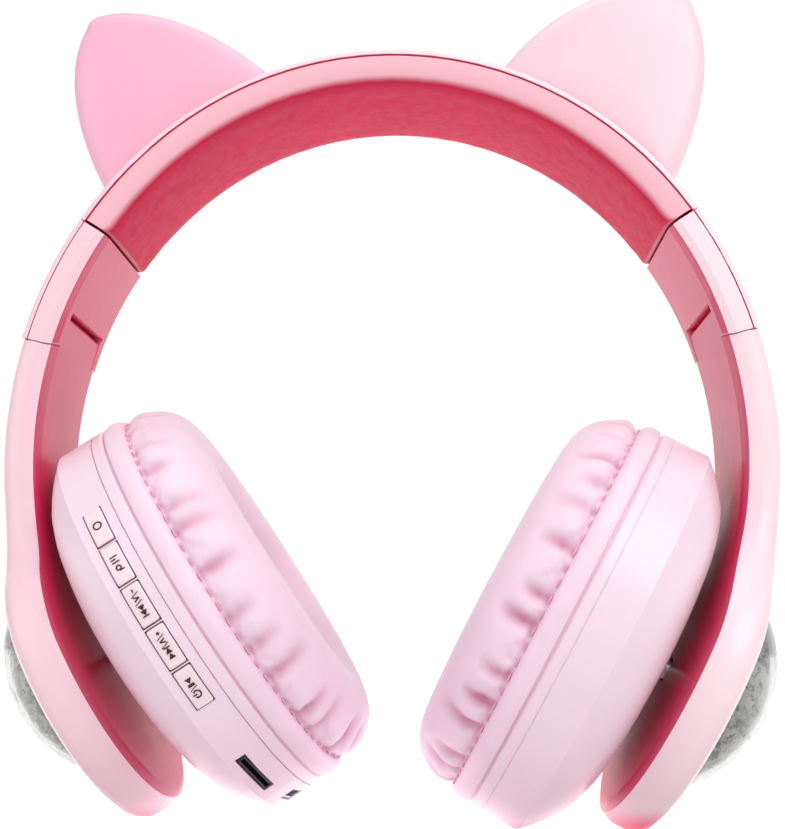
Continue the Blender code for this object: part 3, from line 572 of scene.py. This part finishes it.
def make_pad():
    """Leatherette pad: a rounded channel section along the arch, with a rolled lip at each end."""
    half = through([(RECESS_HALF, RECESS_DEPTH), (RECESS_HALF, PAD_TOP + 0.0002)], 4)
    half += through([(BAND_HALF_WIDTH - inset, depth) for inset, depth in PAD_EDGE], 5)
    half += through([(BAND_HALF_WIDTH - 0.0040, PAD_DEPTH + PAD_SAG / 4), (0.0040, PAD_DEPTH + PAD_SAG)], 7)
    section = half + [Vector((-p.x, p.y)) for p in reversed(half)]
    last = ARCH_END - 0.0004 / ARCH_B
    lips = [LIP_RADIUS * (1 - math.cos(math.pi / 2 * i / LIP_ROWS)) / ARCH_B for i in range(LIP_ROWS + 1)]
    ends = [last - lip for lip in lips]
    angles = [-last + 2 * last * i / PAD_ROWS for i in range(PAD_ROWS + 1)]
    angles = sorted(set([a for a in angles if abs(a) < ends[-1]] + ends + [-a for a in ends]))
    rows = []
    for angle in angles:
        back = max(0.0, abs(angle) - ends[-1]) * ARCH_B / LIP_RADIUS
        drop = LIP_RADIUS * (1 - math.sqrt(max(0.0, 1 - back * back)))
        row = []
        for y, depth in section:
            wave = PAD_WAVE * noise.noise(Vector((angle * 30, y * 300, 3.0)))
            low = max(0.0, (depth - RECESS_DEPTH) / (PAD_DEPTH - RECESS_DEPTH))
            row.append(band_point(angle, depth + (wave - drop) * low, y))
        rows.append(row)
    pad = add_piece("headband_padding", loft(rows), "pad", "headband", 60)
    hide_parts("headband_pad")


def ear_outline(letter):
    """(x, z) round an ornament, as on the +X side."""
    outer, tip, top = EAR_EDGES[letter]
    control = 2 * Vector(tip) - (Vector(outer[3]) + Vector(top[0])) / 2
    start, end = Vector(outer[3]), Vector(top[0])
    rounded = bezier(start, start + (control - start) * 2 / 3, end + (control - end) * 2 / 3, end, 7)[1:-1]
    low, high = EAR_FOOT
    foot = [band_point(low + (high - low) * i / 22, -GAP).xz for i in range(23)]
    return bezier(*outer, 26) + rounded + bezier(*top, 34) + foot


def make_ears(letter):
    side = SIDES[letter]
    outline = ear_outline(letter)
    centre = sum(outline, Vector((0, 0))) / len(outline)
    reach = sum((p - centre).length for p in outline) / len(outline)

    def row(scale, y):
        return [Vector((side * (centre.x + (p.x - centre.x) * scale), y, centre.y + (p.y - centre.y) * scale))
                for p in outline]

    for half, facing in (("front", -1), ("back", 1)):
        rows = [row(1 - inset / reach, facing * y) for inset, y in EAR_EDGE]
        rows += [row(scale, facing * y) for scale, y in EAR_CROWN]
        name = f"ear_{half}_{letter}"
        piece = add_piece(name + "_finish", loft(rows), "ear", "headband", 50)
        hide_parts(name)


# ---- Cushions ----


def ring_cover(name, rows):
    """Object of a closed ring of rows, numbered row by row."""
    work = loft(rows, ring=True)
    bmesh.ops.recalc_face_normals(work, faces=work.faces)
    mesh = bpy.data.meshes.new(name)
    work.to_mesh(mesh)
    work.free()
    piece = bpy.data.objects.new(name, mesh)
    bpy.context.scene.collection.objects.link(piece)
    return piece


def inflate(rows, pins):
    """Rows after a cloth simulation of a sealed cover with air in it; no point moves further than the cap."""
    cap = CLOTH_CAP * CLOTH_SCALE
    piece = ring_cover("cloth_work", rows)
    rest = [vertex.co.copy() for vertex in piece.data.vertices]
    held = piece.vertex_groups.new(name="held")
    held.add(pins, 1.0, "REPLACE")
    cloth = piece.modifiers.new("cloth", "CLOTH")
    settings = cloth.settings
    settings.quality = 6
    settings.vertex_group_mass = "held"
    settings.use_pressure = True
    settings.uniform_pressure_force = CLOTH_PRESSURE
    settings.tension_stiffness = settings.compression_stiffness = 12
    settings.bending_stiffness = 0.4
    settings.shrink_min = -0.05
    settings.effector_weights.gravity = 0
    cloth.collision_settings.use_collision = False
    scene = bpy.context.scene
    for step in range(1, CLOTH_FRAMES + 1):
        scene.frame_set(step)
    graph = bpy.context.evaluated_depsgraph_get()
    moved = [vertex.co.copy() for vertex in piece.evaluated_get(graph).data.vertices]
    piece.modifiers.remove(cloth)
    scene.frame_set(1)
    mesh = piece.data
    bpy.data.objects.remove(piece)
    bpy.data.meshes.remove(mesh)
    points = []
    for start, end in zip(rest, moved):
        shift = end - start
        if shift.length > cap:
            shift *= cap / shift.length
        points.append(start + shift)
    width = len(rows[0])
    return [points[i:i + width] for i in range(0, len(points), width)]


def gathers(letter):
    """(angle from the front, strength, length) of each gather round a cushion."""
    draw = random.Random({"R": 11, "L": 5}[letter])
    count = round(2 * math.pi * CUSHION_OUTLINE[-1][0] / GATHER_PITCH)
    return [(2 * math.pi * (i + draw.uniform(-0.22, 0.22)) / count, draw.uniform(0.6, 1.0),
             draw.uniform(0.0050, 0.0090)) for i in range(count)]


def gather_pull(marks, angle, along):
    """How far the gathers draw the cover in, at an angle and a distance from the stitched line."""
    pull = 0.0
    for centre, strength, length in marks:
        away = (angle - centre + math.pi) % (2 * math.pi) - math.pi
        if abs(away) > 0.24 or along > length * 1.5:
            continue
        aside = abs(away) * 0.038 / (GATHER_ROOT + GATHER_SPREAD * along)
        fade = max(0.0, 1 - (along / (length * 1.2)) ** 2) * (0.45 + 0.55 * min(1.0, along / GATHER_START))
        pull += strength * fade * math.exp(-aside**2)
    return pull


def cushion_rows(profile, stitch):
    """Rows of the inflated cover, twice as many as the cloth has, at the cloth's scale."""
    rows = []
    for step in range(CLOTH_STEPS):
        angle = 2 * math.pi * step / CLOTH_STEPS
        rows.append([Vector((x, r * math.cos(angle), r * math.sin(angle))) * CLOTH_SCALE for r, x in profile])
    width = len(profile)
    pins = [step * width + k for step in range(CLOTH_STEPS)
            for k in list(range(3)) + list(range(stitch - 1, width))]
    rows = inflate(rows, pins)
    finer = []
    for row, after in zip(rows, rows[1:] + rows[:1]):
        finer += [row, [(a + b) / 2 for a, b in zip(row, after)]]
    return finer


def make_cushion(letter):
    """Ring cushion: an inflated cover, gathered at a stitched line, and a rolled skirt under it."""
    place = cup_frame(letter)
    front = {"L": 0.0, "R": math.pi}[letter]
    outline = through(CUSHION_OUTLINE, 4)
    profile = outline + through(SKIRT_OUTLINE, 4)[1:]
    stitch = len(outline) - 1
    rows = cushion_rows(profile, stitch)
    piece = ring_cover("cushion_cover_" + letter, rows)
    mesh = piece.data
    marks = gathers(letter)
    # Painted shade: a mask that deepens the cover's colour in its gathers and along the groove, more so lower
    # down.
    shade = mesh.attributes.new("gathered", "FLOAT", "POINT")
    distances = []
    for k in range(stitch + 1):
        near = (profile[stitch] - profile[k]).length < GATHER_REACH
        steps = zip(profile[k:stitch], profile[k + 1:stitch + 1])
        distances.append(sum((b - a).length for a, b in steps) if near else 1.0)
    for index, vertex in enumerate(mesh.vertices):
        step, k = divmod(index, len(profile))
        angle = 2 * math.pi * step / len(rows)
        radial = Vector((0, math.cos(angle), math.sin(angle)))
        lower = 0.42 + 0.58 * (0.5 - 0.5 * math.sin(angle + 0.25 * math.cos(angle + front)))
        pull = gather_pull(marks, angle, distances[k]) * lower if k <= stitch else 0.0
        groove = math.exp(-((k - stitch) / 1.6) ** 2)
        vertex.co = vertex.co / CLOTH_SCALE - radial * (GATHER_DEPTH * pull + GROOVE_DEPTH * groove)
        shade.data[index].value = min(1.0, 1.25 * pull**1.3 + 0.25 * groove * lower)
    mesh.transform(place)
    mesh.shade_smooth()
    mesh.materials.append(MATERIALS["cushion"])
    finer = piece.modifiers.new("finer", "SUBSURF")
    finer.levels = finer.render_levels = 1
    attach(piece, "cup_body_" + letter)
    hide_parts("cushion_" + letter)
    make_stitches(letter, place)


def make_stitches(letter, place):
    """Short threads along the stitched line."""
    radius, height = STITCH_LINE
    count = round(2 * math.pi * radius / STITCH_PITCH)
    work = bmesh.new()
    for i in range(count):
        middle = 2 * math.pi * i / count
        rings = []
        for t in (-1.0, -0.85, -0.4, 0.0, 0.4, 0.85, 1.0):
            angle = middle + t * 0.31 * STITCH_PITCH / radius
            size = STITCH_SIZE * math.sqrt(max(0.08, 1 - t**4))
            lift = STITCH_LIFT * (1 - t * t)
            ring = []
            for s in range(8):
                turn = 2 * math.pi * s / 8
                r = radius + lift + size * math.cos(turn)
                point = Vector((height + size * math.sin(turn), r * math.cos(angle), r * math.sin(angle)))
                ring.append(work.verts.new(place @ point))
            rings.append(ring)
        work.faces.new(rings[0])
        work.faces.new(rings[-1])
        join_rows(work, rings)
    add_piece("cushion_stitches_" + letter, work, "thread", "cup_body_" + letter, 60)


def make_seam(letter):
    """Beads that fill the bottoms of the two joints round a cup."""
    low, high = -BEAD_WIDTH / 2, BEAD_WIDTH / 2
    root = CUP_RADIUS - BEAD_ROOT
    for name, middle, depth in (("cup_seam_", CUP_SEAM_X, CUP_SEAM_DEPTH[letter]),
                                ("cushion_seam_", 0.0, CUSHION_SEAM_DEPTH)):
        outer = CUP_RADIUS - depth
        outline = [(root, middle + low), (outer, middle + low), (outer, middle + high), (root, middle + high)]
        add_piece(name + letter, turned(outline, cup_frame(letter), 180), "seam", "cup_body_" + letter,
                  30)


# ---- Domes ----


def make_dome(letter):
    """Clear dome with a flat flange."""
    place = disc_frame(letter)
    foot = DOME_BASE - DOME_WALL
    outer, inner = [], []
    for radius, base, made in ((DOME_RADIUS, DOME_BASE, outer), (DOME_RADIUS - DOME_WALL, foot, inner)):
        rim = math.acos((base - DOME_CENTRE) / radius)
        for i in range(40):
            angle = 0.012 + (rim - 0.012) * i / 39
            made.append((radius * math.sin(angle), DOME_CENTRE + radius * math.cos(angle)))
    outline = outer + [(DOME_FLANGE, DOME_BASE), (DOME_FLANGE, foot)] + inner[::-1]
    dome = add_piece("dome_finish_" + letter, turned(outline, place, 120), "clear", "arm_body_" + letter,
                     40)
    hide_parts("dome_" + letter)


def crumple(ray, seed):
    """0 to 1 over the film."""
    folds = noise.cell(ray * 9 + Vector((seed, 0, 0))) * 0.5
    folds += abs(noise.noise(ray * 7 + Vector((seed, 2, 1)))) + 0.5 * abs(noise.noise(ray * 17))
    return min(1.0, folds)


def make_reflector_piece(letter):
    """Crinkled film cup just inside the dome."""
    place = disc_frame(letter)
    seed = {"R": 4.0, "L": 9.0}[letter]
    rings, steps = 34, 120
    work = bmesh.new()
    edges = []
    for inset in (0.0, FILM_THICKNESS):
        rows = []
        for i in range(rings):
            angle = 0.02 + (FILM_EDGE - 0.02) * i / (rings - 1)
            row = []
            for step in range(steps):
                turn = 2 * math.pi * step / steps
                aside = Vector((0, math.cos(turn), math.sin(turn)))
                ray = Vector((math.cos(angle), 0, 0)) + math.sin(angle) * aside
                radius = DOME_RADIUS - DOME_WALL - inset - FILM_GAP - FILM_CRUMPLE * crumple(ray, seed)
                row.append(work.verts.new(place @ (Vector((DOME_CENTRE, 0, 0)) + ray * radius)))
            rows.append(row)
        join_rows(work, rows)
        work.faces.new(rows[0])
        edges.append(rows[-1])
    join_rows(work, edges)
    film = add_piece("reflector_film_" + letter, work, "reflector", "arm_body_" + letter,
                     70)
    foot = film.data.attributes.new("foot", "FLOAT", "POINT")
    unplaced = place.inverted()
    for index, vertex in enumerate(film.data.vertices):
        foot.data[index].value = min(1.0, max(0.0, (FOOT_TOP - (unplaced @ vertex.co).x) / FOOT_FADE))
    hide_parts("reflector_" + letter)


# ---- Buttons and their printed signs ----


def button_place(place, index, along, across, lift):
    """Point on a button's face: along the row downwards and across it away from the cushion, in metres."""
    angle = BUTTON_FIRST + index * BUTTON_PITCH + along / BUTTON_FACE
    radius = BUTTON_FACE + lift
    return place @ Vector((BUTTON_MIDDLE + across, radius * math.cos(angle), -radius * math.sin(angle)))


def bar(x0, y0, x1, y1, width=0.22):
    """Corners of a straight stroke between two points."""
    way = Vector((x1 - x0, y1 - y0))
    off = Vector((-way.y, way.x)).normalized() * width / 2
    return [Vector((x0, y0)) + off, Vector((x0, y0)) - off, Vector((x1, y1)) - off, Vector((x1, y1)) + off]


def ring(x, y, radius, start=0.0, end=360.0, width=0.24):
    """Quads of a round stroke, angles from across the row."""
    quads = []
    steps = 20
    for i in range(steps):
        a, b = (math.radians(start + (end - start) * t / steps) for t in (i, i + 1))
        quads.append([Vector((x + r * math.sin(t), y + r * math.cos(t))) for r, t in (
            (radius - width, a), (radius, a), (radius, b), (radius - width, b))])
    return quads


def arrow(x, way, half=0.62, length=0.95):
    """Triangle on the row's line, pointing along it."""
    return [Vector((x, -half)), Vector((x, half)), Vector((x + way * length, 0))]


def slash(x):
    return bar(x - 0.25, -0.75, x + 0.25, 0.75, 0.13)


# Strokes of each sign, in millimetres along and across its button.
SIGNS = {
    "button_light": ring(0, 0, 0.85),
    "button_mode": [bar(-1.3, -0.7, -1.3, 0.7), bar(-0.75, -0.2, -0.75, 0.7), bar(-0.2, -0.7, -0.2, 0.7)]
    + ring(0.95, 0, 0.55) + [bar(1.48, 0.0, 1.48, -0.9)],
    "button_previous": [bar(-2.9, 0, -2.3, 0), slash(-1.85), bar(-1.45, 0.5, -1.1, -0.5),
                        bar(-1.1, -0.5, -0.75, 0.5), slash(-0.3), arrow(0.25, 1), arrow(1.2, 1),
                        bar(2.25, -0.62, 2.25, 0.62)],
    "button_next": [bar(-2.9, 0, -2.3, 0), bar(-2.6, -0.3, -2.6, 0.3), slash(-1.85),
                    bar(-1.45, -0.5, -1.1, 0.5), bar(-1.1, 0.5, -0.75, -0.5), slash(-0.3),
                    bar(0.15, -0.62, 0.15, 0.62), arrow(1.2, -1), arrow(2.2, -1)],
    "button_power": [arrow(-1.9, 1), bar(-0.75, -0.6, -0.75, 0.6), bar(-0.45, -0.6, -0.45, 0.6), slash(0.1)]
    + ring(1.25, 0, 0.75, 40, 320) + [bar(1.25, 0.05, 1.25, 0.85)],
}


def make_signs():
    """Printed signs: thin raised strokes on the buttons' faces."""
    place = cup_frame("L")
    for index, name in enumerate(BUTTONS):
        work = bmesh.new()
        for corners in SIGNS[name]:
            low, high = ([work.verts.new(button_place(place, index, *(p / 1000), lift)) for p in corners]
                         for lift in (INK_LIFT, INK_LIFT + INK_THICKNESS))
            work.faces.new(low)
            work.faces.new(high)
            join_rows(work, [low, high])
        add_piece(name + "_sign", work, "ink", name + "_body", 30)


def make_microphone():
    """Small dark pill in the left cup's cone, below the buttons: painted shade standing for the microphone
    hole.
    """
    x, radius, turn = MICROPHONE
    place = cup_frame("L")
    radial = Vector((0, math.cos(turn), -math.sin(turn)))
    along = Vector((0, math.sin(turn), math.cos(turn)))
    normal = (Vector((MICROPHONE_SLOPE, 0, 0)) + radial).normalized()
    matrix = place @ frame_matrix(Vector((x, 0, 0)) + radius * radial, normal, along, normal.cross(along))
    work = bmesh.new()
    bmesh.ops.create_icosphere(work, subdivisions=3, radius=1.0)
    work.transform(matrix @ Matrix.Diagonal((0.00010, 0.00085, 0.00045, 1)))
    add_piece("microphone_hole", work, "dark", "cup_body_L", 60)


# ---- Stage, lights and camera ----


def make_stage():
    """Pale floor just under the object, which glows white towards the back: painted light that hides shadows
    there.
    """
    low = cad_box[0][2] - FLOOR_GAP
    mesh = bpy.data.meshes.new("floor")
    mesh.from_pydata([(-6, -6, low), (6, -6, low), (6, 6, low), (-6, 6, low)], [], [(0, 1, 2, 3)])
    floor = bpy.data.objects.new("floor", mesh)
    bpy.context.scene.collection.objects.link(floor)
    material, tree, shader, coords = new_material("pale_floor", (0.80, 0.79, 0.79), 0.9)
    depth = add_node(tree, "ShaderNodeSeparateXYZ", {0: coords}).outputs["Y"]
    # Painted light: the floor glows white towards the back.
    tree.links.new(smooth(tree, depth, -0.025, 0.005), shader.inputs["Emission Strength"])
    shader.inputs["Emission Color"].default_value = (1, 1, 1, 1)
    bump(tree, shader, grain(tree, coords, 300, 3), 0.02, 0.0005)
    mesh.materials.append(material)


def make_light(name, place, size, power, target=(0, 0, 0)):
    data = bpy.data.lights.new(name, "AREA")
    data.shape = "RECTANGLE"
    data.size, data.size_y = size
    data.energy = power
    light = bpy.data.objects.new(name, data)
    light.location = place
    light.rotation_euler = (Vector(target) - Vector(place)).to_track_quat("-Z", "Y").to_euler()
    bpy.context.scene.collection.objects.link(light)


def make_world():
    """White behind the object and a softer white elsewhere."""
    world = bpy.data.worlds.new("studio")
    world.use_nodes = True
    tree = world.node_tree
    ray = add_node(tree, "ShaderNodeTexCoord").outputs["Generated"]
    ahead = add_node(tree, "ShaderNodeSeparateXYZ", {0: ray}).outputs["Y"]
    tree.links.new(smooth(tree, ahead, 0.66, 0.84, 0.52, 1.02), tree.nodes["Background"].inputs["Strength"])
    tree.nodes["Background"].inputs["Color"].default_value = (1, 1, 1, 1)
    bpy.context.scene.world = world


def make_camera():
    data = bpy.data.cameras.new("camera")
    data.sensor_width = 36
    data.lens = LENS_MM
    data.clip_start = 0.01
    camera = bpy.data.objects.new("camera", data)
    turn = (Matrix.Rotation(CAMERA_YAW, 3, "Z") @ Matrix.Rotation(CAMERA_PITCH, 3, "X")
            @ Matrix.Rotation(CAMERA_ROLL, 3, "Y"))
    right, ahead, up = (turn.col[i] for i in range(3))
    camera.matrix_world = Matrix((right, up, -ahead)).transposed().to_4x4()
    camera.location = CAMERA_PLACE
    bpy.context.scene.collection.objects.link(camera)
    bpy.context.scene.camera = camera


make_camera()
skin("headband_shell", "shell")
make_pad()
for letter in SIDES:
    make_ears(letter)
    for node in ("hinge_housing_", "hinge_cover_"):
        skin(node + letter, "shell")
    skin("arm_" + letter, "shell", 0.0004, 38)
    skin("cup_back_" + letter, "cup", angle=24)
    skin("cup_front_" + letter, "cup")
    skin("dome_bezel_" + letter, "bezel")
    make_cushion(letter)
    make_seam(letter)
    make_dome(letter)
    make_reflector_piece(letter)
for node in BUTTONS:
    skin(node, "button", 0.00035)
make_signs()
make_microphone()

NODE_MATERIALS = {"steel": "steel", "board_green": "board", "dark_plastic": "dark", "liner_white": "white",
                  "battery_silver": "foil", "grille_fabric": "grille", "shell_pink": "shell"}
for row in frame["record"]["subparts"]:
    if row["material_slot"] in NODE_MATERIALS:
        mesh = frame["nodes"][row["node"]].data
        mesh.materials.clear()
        mesh.materials.append(MATERIALS[NODE_MATERIALS[row["material_slot"]]])

make_stage()
make_world()
make_light("key", (0.42, -0.62, 0.48), (0.55, 0.55), 3.4)
make_light("fill", (-0.60, -0.50, 0.15), (0.60, 0.60), 1.2)
make_light("top", (0.05, -0.10, 0.75), (0.60, 0.40), 1.6)
bpy.context.scene.view_settings.view_transform = "Standard"
